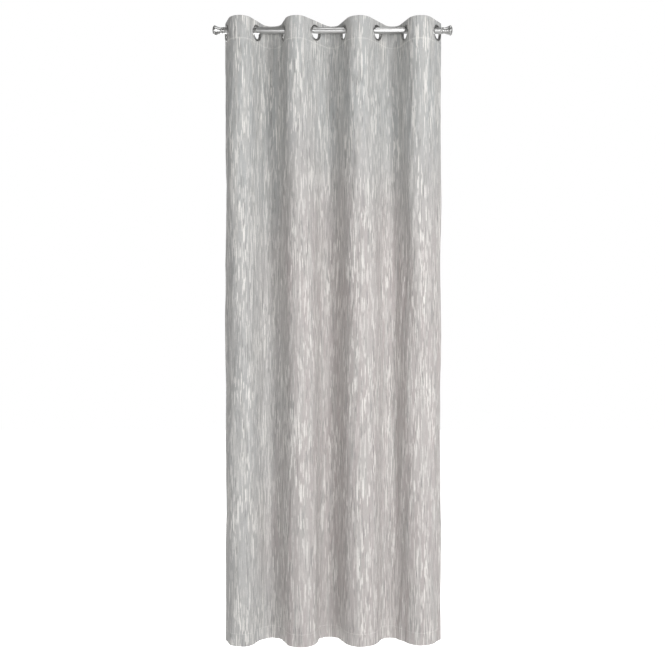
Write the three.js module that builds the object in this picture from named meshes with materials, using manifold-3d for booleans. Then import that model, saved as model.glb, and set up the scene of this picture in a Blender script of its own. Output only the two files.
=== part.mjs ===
// Full-length curtain panel that hangs by eight eyelets on a short metal rod.
// Millimetres. X runs along the rod, Y from the front to the back and Z is up.
// The origin is the middle of the rod's axis.
import * as THREE from "three";
import Module from "manifold-3d";

const wasm = await Module();
wasm.setup();

// ---- Fabric ----
const PANEL_HEIGHT = 2500; // top edge to hem
const FABRIC_THICKNESS = 1.6; // one layer of the woven cloth
const HEM_HEIGHT = 50; // doubled cloth along the bottom
const HEADING_HEIGHT = 95; // doubled cloth along the top
const STIFFENER_THICKNESS = 1.0; // buckram strip inside the heading
const SIDE_MARGIN = 42; // end eyelet's centre to the side edge, along the cloth
const MARGIN_CURL_RADIUS = 10; // how tightly each side edge turns to the back
const EYELET_PITCH = 188; // along the cloth, from one eyelet to the next

// ---- The way the cloth is dressed on the rod ----
const TOP_EDGE_ABOVE_ROD = 39.5; // cloth's top edge above the rod's axis
const EYELET_SPACING = [116, 112, 124, 118, 131, 116, 125]; // along the rod
const FLANK_ANGLE = [72, 63, 74, 51, 68, 54, 70, 56]; // degrees off the rod
const ROW_OFFSET = -2; // middle of the eyelet row from the rod's middle
const FOLD_LINE_GAP = 3.4; // between two flanks at the line they fold on
const ARC_STEP = 14; // degrees per facet round a fold

// ---- Eyelets ----
const EYELET_OUTER_DIAMETER = 64;
const EYELET_INNER_DIAMETER = 48;
const BARREL_WALL = 1.2;
const FLANGE_HEIGHT = 2.6; // of the domed front flange
const WASHER_HEIGHT = 2.3; // of the back washer
const FLANGE_RIM = 0.7; // straight edge round each flange
const LIP_ROUND = 1.4; // rounding at the mouth of the bore
const EYELET_FLAT_EDGE = 1.0; // flat cloth that is left round each flange

// ---- Rod and finials ----
const ROD_DIAMETER = 25;
const ROD_WALL = 1.2;
const COLLAR_LENGTH = 4.5;
const COLLAR_WALL = 0.9;
const SPIGOT_LENGTH = 32; // of the finial, inside the rod
const FINIAL_LENGTH = 43.5; // from the rod's end to the tip
const FINIAL_NECK_DIAMETER = 19.5;
const FINIAL_RIM_DIAMETER = 41;
const FINIAL_DOME_HEIGHT = 8;
const BEADS_OVER_ROD = [1.4, -0.4]; // each bead's diameter less the rod's
const BEAD_LENGTH = 3.6;
const BEAD_GROOVE_DEPTH = 1.5;

// ---- Fits ----
const CLEARANCE = 0.3; // between two pieces that seat on or in each other
const EYELET_SEGMENTS = 24;
const ROD_SEGMENTS = 32;

const EYELET_COUNT = FLANK_ANGLE.length;
const ROD_RADIUS = ROD_DIAMETER / 2;
const BORE_RADIUS = EYELET_INNER_DIAMETER / 2;
const BARREL_RADIUS = BORE_RADIUS + BARREL_WALL;
const FLANGE_RADIUS = EYELET_OUTER_DIAMETER / 2;
const FLAT_HALF = FLANGE_RADIUS + EYELET_FLAT_EDGE;
const STACK_HALF = FABRIC_THICKNESS + CLEARANCE + STIFFENER_THICKNESS / 2;
const FLANGE_SEAT = STACK_HALF + CLEARANCE;
const MOUTH = FLANGE_SEAT + Math.max(FLANGE_HEIGHT, WASHER_HEIGHT);
const COLLAR_RADIUS = ROD_RADIUS + CLEARANCE + COLLAR_WALL;

const radians = THREE.MathUtils.degToRad;

// ---- Materials ----
function clothMaterial() {
  return new THREE.MeshStandardMaterial({ color: 0xb5b5b3, roughness: 0.9, metalness: 0 });
}

function buckramMaterial() {
  return new THREE.MeshStandardMaterial({ color: 0xe9e7e1, roughness: 0.95, metalness: 0 });
}

function nickelMaterial() {
  return new THREE.MeshStandardMaterial({ color: 0xb9b9b7, roughness: 0.32, metalness: 0.95 });
}

function brushedSteelMaterial() {
  return new THREE.MeshStandardMaterial({ color: 0xa9a9a7, roughness: 0.38, metalness: 0.95 });
}

// ---- Plan of the cloth ----
// Centre of each eyelet along the rod.
function eyeletCentres() {
  const total = EYELET_SPACING.reduce((sum, step) => sum + step, 0);
  const centres = [ROW_OFFSET - total / 2];
  for (const step of EYELET_SPACING) {
    centres.push(centres[centres.length - 1] + step);
  }
  return centres;
}

// One fold seen from above: a flat, an arc and a flat between two eyelets.
// The steeper flat is lengthened until the path is as long as the eyelet pitch.
function foldShape(spacing, startAngle, endAngle) {
  const steep = radians(Math.max(startAngle, endAngle));
  const slack = radians(Math.min(startAngle, endAngle));
  const shape = (steepFlat) => {
    const reach = spacing - steepFlat * (Math.cos(steep) + Math.sin(steep) / Math.tan(slack));
    const spread =
      Math.sin(steep) + Math.sin(slack) + (Math.cos(slack) - Math.cos(steep)) / Math.tan(slack);
    const radius = reach / spread;
    const rise = steepFlat * Math.sin(steep) + radius * (Math.cos(slack) - Math.cos(steep));
    const slackFlat = rise / Math.sin(slack);
    const length = steepFlat + slackFlat + radius * (steep + slack);
    return { steepFlat, slackFlat, radius, length };
  };
  let low = FLAT_HALF;
  let high = (spacing * Math.sin(slack)) / Math.sin(steep + slack);
  for (let i = 0; i < 50; i += 1) {
    const middle = (low + high) / 2;
    if (shape(middle).length < EYELET_PITCH) low = middle;
    else high = middle;
  }
  const { steepFlat, slackFlat, radius, length } = shape(low);
  const startIsSteep = startAngle >= endAngle;
  return {
    startFlat: startIsSteep ? steepFlat : slackFlat,
    radius,
    length,
    start: radians(startAngle),
    end: radians(endAngle),
  };
}

// Fold k lies between eyelets k and k + 1. Even folds come forward, odd ones go back.
function makeFold(k, centres) {
  const shape = foldShape(EYELET_SPACING[k], FLANK_ANGLE[k], FLANK_ANGLE[k + 1]);
  return { ...shape, x: centres[k], side: k % 2 === 0 ? -1 : 1 };
}

// Point and heading at a distance along a fold's path.
function foldPoint(fold, distance) {
  const { startFlat, radius, start, end, side } = fold;
  const arc = radius * (start + end);
  const flat = Math.min(distance, startFlat);
  const turned = Math.min(Math.max(distance - startFlat, 0), arc) / radius;
  const rest = Math.max(distance - startFlat - arc, 0);
  const x =
    fold.x + flat * Math.cos(start) + radius * (Math.sin(start) - Math.sin(start - turned)) +
    rest * Math.cos(end);
  const depth =
    flat * Math.sin(start) + radius * (Math.cos(start - turned) - Math.cos(start)) -
    rest * Math.sin(end);
  return { x, y: side * depth, turn: side * (start - turned) };
}

function distanceAtX(fold, x) {
  let low = 0;
  let high = fold.length;
  for (let i = 0; i < 50; i += 1) {
    const middle = (low + high) / 2;
    if (foldPoint(fold, middle).x < x) low = middle;
    else high = middle;
  }
  return low;
}

// Stations along a stretch of a fold: its ends, and facets round the arc.
function foldStations(fold, from, to) {
  const arcStart = Math.max(from, fold.startFlat);
  const arcEnd = Math.min(to, fold.startFlat + fold.radius * (fold.start + fold.end));
  const steps = Math.ceil((arcEnd - arcStart) / (fold.radius * radians(ARC_STEP)));
  const distances = [];
  if (from < arcStart) distances.push(from);
  for (let i = 0; i <= steps; i += 1) {
    distances.push(arcStart + ((arcEnd - arcStart) * i) / steps);
  }
  if (to > arcEnd) distances.push(to);
  return distances.map((distance) => foldPoint(fold, distance));
}

// Stations from an end eyelet out to the cloth's side edge, which curls to the back.
function marginStations(x, outward, curl) {
  const steps = Math.ceil((SIDE_MARGIN - FLAT_HALF) / (MARGIN_CURL_RADIUS * radians(ARC_STEP)));
  const stations = [];
  for (let i = 0; i <= steps; i += 1) {
    const turned = ((SIDE_MARGIN - FLAT_HALF) * i) / steps / MARGIN_CURL_RADIUS;
    const heading = outward + curl * turned;
    const bend = MARGIN_CURL_RADIUS * curl;
    stations.push({
      x: x + FLAT_HALF * Math.cos(outward) + bend * (Math.sin(heading) - Math.sin(outward)),
      y: FLAT_HALF * Math.sin(outward) - bend * (Math.cos(heading) - Math.cos(outward)),
      turn: heading,
    });
  }
  return stations;
}

// Stations of one flank, from the fold on its left to the fold on its right.
function flankStations(k, centres, folds) {
  const stations = [];
  if (k === 0) {
    const margin = marginStations(centres[0], Math.PI - radians(FLANK_ANGLE[0]), -1);
    stations.push(...margin.reverse().map((s) => ({ ...s, turn: s.turn - Math.PI })));
  } else {
    const left = (centres[k - 1] + centres[k] + FOLD_LINE_GAP) / 2;
    const arrive = folds[k - 1].length - FLAT_HALF;
    stations.push(...foldStations(folds[k - 1], distanceAtX(folds[k - 1], left), arrive));
  }
  if (k === EYELET_COUNT - 1) {
    stations.push(...marginStations(centres[k], radians(FLANK_ANGLE[k]), 1));
  } else {
    const right = (centres[k] + centres[k + 1] - FOLD_LINE_GAP) / 2;
    stations.push(...foldStations(folds[k], FLAT_HALF, distanceAtX(folds[k], right)));
  }
  return stations;
}

// ---- Eyelet height ----
// Depth of an eyelet's centre under the rod's axis, where its bore, slanted by the
// given angle, comes to rest on top of the rod. Tested at the wall and at the mouth.
function eyeletDrop(angle) {
  const rims = [
    [BORE_RADIUS, MOUTH - LIP_ROUND],
    [BORE_RADIUS + LIP_ROUND / 2, MOUTH - LIP_ROUND / 4],
    [(FLANGE_RADIUS + BORE_RADIUS) / 2, MOUTH],
  ];
  const reach = ROD_RADIUS + CLEARANCE;
  let drop = BORE_RADIUS;
  for (const [radius, height] of rims) {
    const facet = radius * Math.cos(Math.PI / EYELET_SEGMENTS);
    for (let i = 0; i < 200; i += 1) {
      const along = (facet * i) / 200;
      const y = along * Math.sin(radians(angle)) - height * Math.cos(radians(angle));
      if (Math.abs(y) < reach) {
        const top = Math.sqrt(facet * facet - along * along);
        drop = Math.min(drop, top - Math.sqrt(reach * reach - y * y));
      }
    }
  }
  return drop;
}

// ---- Rod length ----
// Half the rod: its collar clears the end eyelet, whose slanted bore passes the rod.
function rodHalfLength() {
  const centres = eyeletCentres();
  const ends = [0, EYELET_COUNT - 1].map((k) => {
    const angle = radians(FLANK_ANGLE[k]);
    const across = COLLAR_RADIUS + CLEARANCE + MOUTH * Math.cos(angle);
    return Math.abs(centres[k]) + across / Math.tan(angle) + MOUTH * Math.sin(angle);
  });
  return Math.max(...ends) + COLLAR_LENGTH;
}

// ---- Solids ----
function toManifold(positions, triangles) {
  const mesh = new wasm.Mesh({
    numProp: 3,
    vertProperties: new Float32Array(positions),
    triVerts: new Uint32Array(triangles),
  });
  return new wasm.Manifold(mesh);
}

function toGeometry(solid) {
  const mesh = solid.getMesh();
  const geometry = new THREE.BufferGeometry();
  geometry.setAttribute("position", new THREE.BufferAttribute(mesh.vertProperties, 3));
  geometry.setIndex(new THREE.BufferAttribute(mesh.triVerts, 1));
  geometry.computeVertexNormals();
  return geometry;
}

// Sweeps a closed section, given as (offset to the back, height), along stations.
function sweep(section, stations) {
  const positions = [];
  const triangles = [];
  const count = section.length;
  for (const { x, y, turn } of stations) {
    for (const [offset, height] of section) {
      positions.push(x - offset * Math.sin(turn), y + offset * Math.cos(turn), height);
    }
  }
  for (let i = 0; i + 1 < stations.length; i += 1) {
    for (let j = 0; j < count; j += 1) {
      const a = i * count + j;
      const b = i * count + ((j + 1) % count);
      triangles.push(a, b, a + count, b, b + count, a + count);
    }
  }
  const contour = section.map(([offset, height]) => new THREE.Vector2(offset, height));
  const last = (stations.length - 1) * count;
  for (const [a, b, c] of THREE.ShapeUtils.triangulateShape(contour, [])) {
    triangles.push(last + a, last + b, last + c, c, b, a);
  }
  return toManifold(positions, triangles);
}

// Below the heading the cloth is one layer, doubled at the hem.
function clothSection(top) {
  const front = -STACK_HALF;
  const inside = front + FABRIC_THICKNESS;
  const hem = inside + FABRIC_THICKNESS;
  const bottom = top - PANEL_HEIGHT;
  const high = top - HEADING_HEIGHT;
  return [
    [front, bottom],
    [hem, bottom],
    [hem, bottom + HEM_HEIGHT],
    [inside, bottom + HEM_HEIGHT],
    [inside, high],
    [front, high],
  ];
}

// The heading folds over the stiffener and comes down its back to the stitch line.
function headingSection(top) {
  const inside = STACK_HALF - FABRIC_THICKNESS;
  const low = top - HEADING_HEIGHT + CLEARANCE;
  return [
    [-STACK_HALF, low],
    [-inside, low],
    [-inside, top - FABRIC_THICKNESS],
    [inside, top - FABRIC_THICKNESS],
    [inside, low],
    [STACK_HALF, low],
    [STACK_HALF, top],
    [-STACK_HALF, top],
  ];
}

function stiffenerSection(top) {
  const half = STIFFENER_THICKNESS / 2;
  const high = top - FABRIC_THICKNESS - CLEARANCE;
  const low = top - HEADING_HEIGHT + CLEARANCE;
  return [
    [-half, low],
    [half, low],
    [half, high],
    [-half, high],
  ];
}

// Cuts the eyelet's round hole through a swept strip.
function cutEyeletHole(strip) {
  const radius = BARREL_RADIUS + CLEARANCE;
  const depth = 4 * STACK_HALF;
  const drill = wasm.Manifold.cylinder(depth, radius, radius, EYELET_SEGMENTS, true);
  return toGeometry(strip.subtract(drill.rotate([90, 0, 0])));
}

function lathe(points, segments) {
  const profile = points.map(([radius, along]) => new THREE.Vector2(radius, along));
  return new THREE.LatheGeometry(profile, segments);
}

// Front half of an eyelet: a domed flange and the barrel through the cloth.
function eyeletFrontGeometry() {
  const face = -FLANGE_SEAT;
  const back = FLANGE_SEAT + WASHER_HEIGHT;
  const crown = (FLANGE_RADIUS + BORE_RADIUS) / 2;
  const profile = [
    [BORE_RADIUS, face - FLANGE_HEIGHT + LIP_ROUND],
    [BORE_RADIUS + LIP_ROUND / 2, face - FLANGE_HEIGHT + LIP_ROUND / 4],
    [crown, face - FLANGE_HEIGHT],
    [FLANGE_RADIUS - LIP_ROUND / 2, face - FLANGE_RIM - LIP_ROUND / 2],
    [FLANGE_RADIUS, face - FLANGE_RIM],
    [FLANGE_RADIUS, face],
    [BARREL_RADIUS, face],
    [BARREL_RADIUS, back],
    [BORE_RADIUS, back - LIP_ROUND],
  ];
  return lathe([...profile, profile[0]], EYELET_SEGMENTS);
}

// Back half of an eyelet: the washer that snaps over the barrel.
function eyeletBackGeometry() {
  const inner = BARREL_RADIUS + CLEARANCE;
  const crown = (FLANGE_RADIUS + BORE_RADIUS) / 2;
  const profile = [
    [inner, FLANGE_SEAT],
    [FLANGE_RADIUS, FLANGE_SEAT],
    [FLANGE_RADIUS, FLANGE_SEAT + FLANGE_RIM],
    [crown, FLANGE_SEAT + WASHER_HEIGHT],
    [inner, FLANGE_SEAT + WASHER_HEIGHT - LIP_ROUND / 2],
  ];
  return lathe([...profile, profile[0]], EYELET_SEGMENTS);
}

function rodTubeGeometry() {
  const inner = ROD_RADIUS - ROD_WALL;
  const half = rodHalfLength();
  const profile = [
    [inner, -half],
    [ROD_RADIUS, -half],
    [ROD_RADIUS, half],
    [inner, half],
  ];
  return lathe([...profile, profile[0]], ROD_SEGMENTS);
}

function collarGeometry() {
  const inner = ROD_RADIUS + CLEARANCE;
  const outer = COLLAR_RADIUS;
  const edge = COLLAR_WALL / 2;
  const profile = [
    [inner, 0],
    [outer - edge, 0],
    [outer, edge],
    [outer, COLLAR_LENGTH - edge],
    [outer - edge, COLLAR_LENGTH],
    [inner, COLLAR_LENGTH],
  ];
  return lathe([...profile, profile[0]], ROD_SEGMENTS);
}

// Trumpet finial: a spigot, two beads, a neck, a flare and a domed end.
function finialGeometry() {
  const spigot = ROD_RADIUS - ROD_WALL - CLEARANCE;
  const neck = FINIAL_NECK_DIAMETER / 2;
  const rim = FINIAL_RIM_DIAMETER / 2;
  const chamfer = 1.5;
  const profile = [
    [0, -SPIGOT_LENGTH],
    [spigot - chamfer, -SPIGOT_LENGTH],
    [spigot, chamfer - SPIGOT_LENGTH],
    [spigot, CLEARANCE],
  ];
  let along = CLEARANCE;
  for (const extra of BEADS_OVER_ROD) {
    const bead = ROD_RADIUS + extra / 2;
    profile.push([bead - BEAD_GROOVE_DEPTH, along]);
    profile.push([bead, along + BEAD_LENGTH * 0.3]);
    profile.push([bead, along + BEAD_LENGTH * 0.7]);
    profile.push([bead - BEAD_GROOVE_DEPTH, along + BEAD_LENGTH]);
    along += BEAD_LENGTH + CLEARANCE;
  }
  const rimStart = FINIAL_LENGTH - FINIAL_DOME_HEIGHT;
  const flareSteps = 6;
  for (let i = 0; i <= flareSteps; i += 1) {
    const share = i / flareSteps;
    const flare = 1 - Math.cos((share * Math.PI) / 2);
    const start = along + BEAD_LENGTH;
    profile.push([neck + (rim - neck) * flare, start + (rimStart - start) * share]);
  }
  const domeSteps = 4;
  for (let i = 1; i <= domeSteps; i += 1) {
    const swing = (i / domeSteps) * (Math.PI / 2);
    profile.push([rim * Math.cos(swing), rimStart + FINIAL_DOME_HEIGHT * Math.sin(swing)]);
  }
  profile[profile.length - 1][0] = 0;
  return lathe(profile, ROD_SEGMENTS);
}

// ---- Assembly ----
function named(name, geometry, material) {
  const mesh = new THREE.Mesh(geometry, material);
  mesh.name = name;
  return mesh;
}

// Turns a lathed piece from the Y axis to the X axis, pointing left (-1) or right (1).
function alongRod(mesh, side, x) {
  mesh.rotation.z = (-side * Math.PI) / 2;
  mesh.position.x = side * x;
  return mesh;
}

function addRod(group) {
  const steel = brushedSteelMaterial();
  const nickel = nickelMaterial();
  const rodEnd = rodHalfLength();
  group.add(alongRod(named("rod_tube", rodTubeGeometry(), steel), 1, 0));
  for (const [label, side] of [["left", -1], ["right", 1]]) {
    const collar = named(`rod_collar_${label}`, collarGeometry(), nickel);
    group.add(alongRod(collar, side, rodEnd - COLLAR_LENGTH));
    const finial = named(`finial_${label}`, finialGeometry(), nickel);
    group.add(alongRod(finial, side, rodEnd));
  }
}

// One flank of the cloth with its eyelet, in a frame at the eyelet's centre whose
// X axis lies along the flank and whose Y axis points to the cloth's back.
function makeFlank(k, centres, folds, fabrics) {
  const turn = radians(k % 2 === 0 ? -FLANK_ANGLE[k] : FLANK_ANGLE[k]);
  const drop = eyeletDrop(FLANK_ANGLE[k]);
  const top = TOP_EDGE_ABOVE_ROD + drop;
  const flank = new THREE.Group();
  flank.name = `flank_${k + 1}`;
  flank.position.set(centres[k], 0, -drop);
  flank.rotation.z = turn;
  const stations = flankStations(k, centres, folds).map((station) => ({
    x: (station.x - centres[k]) * Math.cos(turn) + station.y * Math.sin(turn),
    y: station.y * Math.cos(turn) - (station.x - centres[k]) * Math.sin(turn),
    turn: station.turn - turn,
  }));
  const cloth = toGeometry(sweep(clothSection(top), stations));
  const heading = cutEyeletHole(sweep(headingSection(top), stations));
  const strip = cutEyeletHole(sweep(stiffenerSection(top), stations));
  flank.add(named(`cloth_flank_${k + 1}`, cloth, fabrics.cloth));
  flank.add(named(`cloth_heading_${k + 1}`, heading, fabrics.cloth));
  flank.add(named(`heading_stiffener_${k + 1}`, strip, fabrics.buckram));
  flank.add(named(`eyelet_front_${k + 1}`, eyeletFrontGeometry(), fabrics.nickel));
  flank.add(named(`eyelet_back_${k + 1}`, eyeletBackGeometry(), fabrics.nickel));
  return flank;
}

function makeCurtain() {
  const curtain = new THREE.Group();
  curtain.name = "curtain_panel";
  const centres = eyeletCentres();
  const folds = EYELET_SPACING.map((_, k) => makeFold(k, centres));
  const fabrics = {
    cloth: clothMaterial(),
    buckram: buckramMaterial(),
    nickel: nickelMaterial(),
  };
  addRod(curtain);
  for (let k = 0; k < EYELET_COUNT; k += 1) {
    curtain.add(makeFlank(k, centres, folds, fabrics));
  }
  return curtain;
}

export default makeCurtain();
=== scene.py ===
import math

import bpy
import numpy as np
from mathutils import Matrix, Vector


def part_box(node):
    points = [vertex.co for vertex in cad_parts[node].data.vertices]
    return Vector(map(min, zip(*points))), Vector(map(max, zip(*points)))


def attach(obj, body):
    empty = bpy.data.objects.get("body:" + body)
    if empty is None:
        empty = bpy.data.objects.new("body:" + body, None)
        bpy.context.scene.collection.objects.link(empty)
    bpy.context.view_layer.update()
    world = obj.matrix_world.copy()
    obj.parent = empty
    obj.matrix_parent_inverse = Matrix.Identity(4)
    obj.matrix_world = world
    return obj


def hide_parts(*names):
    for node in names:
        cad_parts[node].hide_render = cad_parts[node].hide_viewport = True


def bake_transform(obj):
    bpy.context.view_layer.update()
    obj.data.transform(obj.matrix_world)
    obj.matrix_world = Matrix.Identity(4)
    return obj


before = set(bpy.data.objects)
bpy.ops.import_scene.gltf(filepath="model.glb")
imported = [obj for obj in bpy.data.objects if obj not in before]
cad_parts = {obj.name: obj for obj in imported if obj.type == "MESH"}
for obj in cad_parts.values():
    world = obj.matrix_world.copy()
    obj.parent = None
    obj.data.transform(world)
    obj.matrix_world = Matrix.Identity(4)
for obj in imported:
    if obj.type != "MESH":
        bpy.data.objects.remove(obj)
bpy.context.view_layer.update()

# ---------------------------------------------------------------- sizes, metres
COUNT = 8                    # eyelets, one to a flank
PITCH = 0.188                # along the cloth from one eyelet to the next
MARGIN = 0.042               # end eyelet to the side edge, along the cloth
CLOTH = 0.0008               # thickness of the woven layer
FRONT_W = -0.0020            # middle of the front layer, off the plan line
BACK_W = 0.0020              # middle of the heading's back layer
HEM_W = -0.00115             # middle of the layer turned up at the hem
HEADING = 0.0965             # top edge to the end of the layer turned down behind
SEAM = 0.0905                # top edge to the heading's stitch line
HEM = 0.052                  # bottom edge to the end of the layer turned up behind
HEM_SEAM = 0.0495            # bottom edge to the hem's stitch line
SIDE_HEM = 0.0250            # side edge to the end of the layer turned in behind
SIDE_SEAM = 0.0225           # side edge to the side hem's stitch line
SIDE_LAYER = 0.0008          # thickness of the layer turned in
SIDE_STEP = 0.0030           # width in which it thins out
SIDE_CLEAR = 0.0040          # hem to that layer, and hem or heading to its stitches
SIDE_CLEAR_TOP = 0.0060      # heading to that layer
FLAT_TOP = 0.033             # half the flat stretch round an eyelet
FLAT_LOW = 0.018             # the same at the hem, where nothing keeps it flat
HOLE = 0.0280                # radius of the cut under the eyelet's flange
EYELET_R = 0.032             # outer radius of an eyelet
BORE_R = 0.024               # radius of its opening
SEAT = 0.00255               # flange's underside, off the plan line
COLUMNS = 40                 # grid columns in one fold
CURL_TOP = 0.010             # radius in which a side edge curls back, at the top
CURL_LOW = 0.022             # the same at the hem
EDGE = 0.0030                # top or bottom edge to where the cloth starts to turn over
LOW_SHIFT = (0, 0.008, 0.001, 0.009, -0.004, 0.008, -0.007, 0.002)  # eyelet to hem, sideways
LOW_ANGLE = (72, 60, 66, 78, 66, 67, 54, 54)                        # flanks at the hem, degrees
SETTLE_TOP = 0.12            # below the top edge, the folds start to relax
SETTLE_LOW = 1.50            # and by here they have
BUCKRAM = 0.0008             # thickness of the stiffener in the heading
FULL_WIDTH = 2 * MARGIN + (COUNT - 1) * PITCH

rng = np.random.default_rng(7)


def ease(t):
    """A soft start and end on the way from 0 to 1."""
    return t * t * (3 - 2 * t)


# ---------------------------------------------------------------- frame
def axis_of(node):
    """Centre and axis of a lathed node, the axis pointing to the cloth's back."""
    verts = np.array([v.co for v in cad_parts[node].data.vertices], float)
    centre = verts.mean(axis=0)
    _, vectors = np.linalg.eigh(np.cov((verts - centre).T))
    spread = [np.ptp((verts - centre) @ vectors[:, i]) for i in range(3)]
    axis = vectors[:, int(np.argmin(spread))]
    return centre, axis * (1 if axis[1] > 0 else -1)


rings = []
for k in range(COUNT):
    centre, axis = axis_of(f"eyelet_back_{k + 1}")
    centre = centre - axis * (centre[1] / axis[1])
    rings.append({
        "x": centre[0],
        "z": centre[2],
        "turn": math.atan2(-axis[0], axis[1]),
    })
top_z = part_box("cloth_heading_1")[1][2]
low_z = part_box("cloth_flank_1")[0][2]


def side_of(k):
    """Fold k comes forward (-1) or goes back (+1)."""
    return -1 if k % 2 == 0 else 1


# ---------------------------------------------------------------- plan of a fold
def fold_shape(spacing, start, end, flat, pitch):
    """Flat, arc and flat between two eyelets; the steeper flat takes up the length."""
    steep, slack = max(start, end), min(start, end)

    def shape(long_flat):
        reach = spacing - long_flat * (math.cos(steep) + math.sin(steep) / math.tan(slack))
        spread = math.sin(steep) + math.sin(slack)
        spread += (math.cos(slack) - math.cos(steep)) / math.tan(slack)
        radius = reach / spread
        rise = long_flat * math.sin(steep) + radius * (math.cos(slack) - math.cos(steep))
        other = rise / math.sin(slack)
        return other, radius, long_flat + other + radius * (steep + slack)

    low, high = flat, spacing * math.sin(slack) / math.sin(steep + slack)
    for _ in range(50):
        middle = (low + high) / 2
        if shape(middle)[2] < pitch:
            low = middle
        else:
            high = middle
    other, radius, length = shape(low)
    first = low if start >= end else other
    return first, radius, length


def fold_points(x0, side, start, end, shape, share):
    """x, y and heading at each share of a fold's length."""
    first, radius, length = shape
    distance = share * length
    arc = radius * (start + end)
    flat = np.minimum(distance, first)
    turned = np.clip(distance - first, 0, arc) / radius
    rest = np.maximum(distance - first - arc, 0)
    x = x0 + flat * math.cos(start) + radius * (math.sin(start) - np.sin(start - turned))
    x = x + rest * math.cos(end)
    depth = flat * math.sin(start) + radius * (np.cos(start - turned) - math.cos(start))
    depth = depth - rest * math.sin(end)
    return x, side * depth, side * (start - turned)


top_folds, low_folds = [], []
for k in range(COUNT - 1):
    a, b = abs(rings[k]["turn"]), abs(rings[k + 1]["turn"])
    shape = fold_shape(rings[k + 1]["x"] - rings[k]["x"], a, b, FLAT_TOP, PITCH)
    top_folds.append((rings[k]["x"], side_of(k), a, b, shape))
    xa, xb = rings[k]["x"] + LOW_SHIFT[k], rings[k + 1]["x"] + LOW_SHIFT[k + 1]
    a, b = math.radians(LOW_ANGLE[k]), math.radians(LOW_ANGLE[k + 1])
    shape = fold_shape(xb - xa, a, b, FLAT_LOW, 0)   # no length asked, so its flat is FLAT_LOW
    low_folds.append((xa, side_of(k), a, b, shape))


def margin_points(x0, angle, outward, share, flat, radius):
    """The cloth past an end eyelet: flat, then curling to the back."""
    distance = share * MARGIN
    straight = np.minimum(distance, flat)
    turned = np.maximum(distance - flat, 0) / radius
    out = math.pi - angle if outward < 0 else angle
    heading = out + outward * turned
    bend = outward * radius
    x = x0 + straight * math.cos(out) + bend * (np.sin(heading) - math.sin(out))
    y = straight * math.sin(out) - bend * (np.cos(heading) - math.cos(out))
    return x, y, heading - math.pi if outward < 0 else heading


def settle(z):
    """How far the folds have relaxed at a height: 0 near the top, 1 from SETTLE_LOW down."""
    return ease(np.clip((top_z - SETTLE_TOP - z) / (SETTLE_LOW - SETTLE_TOP), 0, 1))


def plan(piece, share, z):
    """x, y and heading of the cloth's plan line: piece 0 is the left margin, 1 to 7
    are the folds and 8 is the right margin. share runs from left to right."""
    if piece in (0, COUNT):
        ring, outward, out_share = (0, -1, 1 - share) if piece == 0 else (COUNT - 1, 1, share)
        x0, angle = rings[ring]["x"], abs(rings[ring]["turn"])
        top = margin_points(x0, angle, outward, out_share, FLAT_TOP, CURL_TOP)
        x0, angle = x0 + LOW_SHIFT[ring], math.radians(LOW_ANGLE[ring])
        low = margin_points(x0, angle, outward, out_share, FLAT_LOW, CURL_LOW)
    else:
        top = fold_points(*top_folds[piece - 1], share)
        low = fold_points(*low_folds[piece - 1], share)
    relaxed = settle(z)
    return tuple(t + (b - t) * relaxed for t, b in zip(top, low))


def cloth_u(piece, share):
    """Distance across the whole cloth from its left edge."""
    if piece == 0:
        return share * MARGIN
    if piece == COUNT:
        return MARGIN + (COUNT - 1) * PITCH + share * MARGIN
    return MARGIN + (piece - 1 + share) * PITCH


# Soft unevenness of hanging cloth: long low waves, none of them in the heading.
WAVES = (                    # height of a wave, its width and its length down the cloth
    (0.0016, 0.150, 1.10), (0.0011, 0.095, 0.70), (0.0008, 0.060, 0.42),
    (0.0005, 0.036, 0.26), (0.00028, 0.021, 0.15),
)
WAVES_EACH = 3               # waves of each size, slightly different
WAVE_SHARE = 1 / 1.7         # of the height that each of them takes
WAVE_SPREAD = (0.8, 1.25)    # the least and the most of its size that a wave has
WAVE_FADE = 0.20             # the waves grow over this drop below the heading
WAVE_GAP = 0.004             # heading's end to the first of them
HEAD_PUCKER = (0.00016, 0.0115, 0.016)   # height, width and reach of the heading's puckers
HEM_PUCKER = (0.00014, 0.013, 0.012)     # the same at the hem
HEAD_RIDGE = 0.00045         # how far the cloth stands forward along the heading's stitches
HEM_RIDGE = 0.00035          # the same at the hem
RIDGE_REACH = 0.0022         # how far from the stitches it fades

waves = []
for size, width, drop_length in WAVES:
    for _ in range(WAVES_EACH):
        waves.append((
            size * WAVE_SHARE,
            2 * math.pi / (width * rng.uniform(*WAVE_SPREAD)),
            2 * math.pi / (drop_length * rng.uniform(*WAVE_SPREAD)) * rng.choice((-1, 1)),
            rng.uniform(0, 2 * math.pi),
        ))


def pucker(u, gap, height, width, reach):
    """Small ripples across the cloth that fade away from a line of stitches."""
    return height * np.exp(-np.abs(gap) / reach) * np.sin(2 * math.pi * u / width)


def unevenness(u, z):
    """How far the cloth stands towards the front of its plan line."""
    fade = ease(np.clip((top_z - HEADING - WAVE_GAP - z) / WAVE_FADE, 0, 1))
    total = np.zeros_like(u)
    for size, ku, kz, phase in waves:
        total = total + size * np.sin(ku * u + kz * z + phase)
    below_seam = top_z - SEAM - z
    above_hem = z - (low_z + HEM_SEAM)
    ripples = pucker(u, below_seam, *HEAD_PUCKER) * (below_seam > -0.0001)
    ripples = ripples + pucker(u, above_hem, *HEM_PUCKER)
    ridges = HEAD_RIDGE * np.exp(-(below_seam / RIDGE_REACH) ** 2)
    ridges = ridges + HEM_RIDGE * np.exp(-(above_hem / RIDGE_REACH) ** 2)
    return total * fade + ripples + ridges


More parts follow.
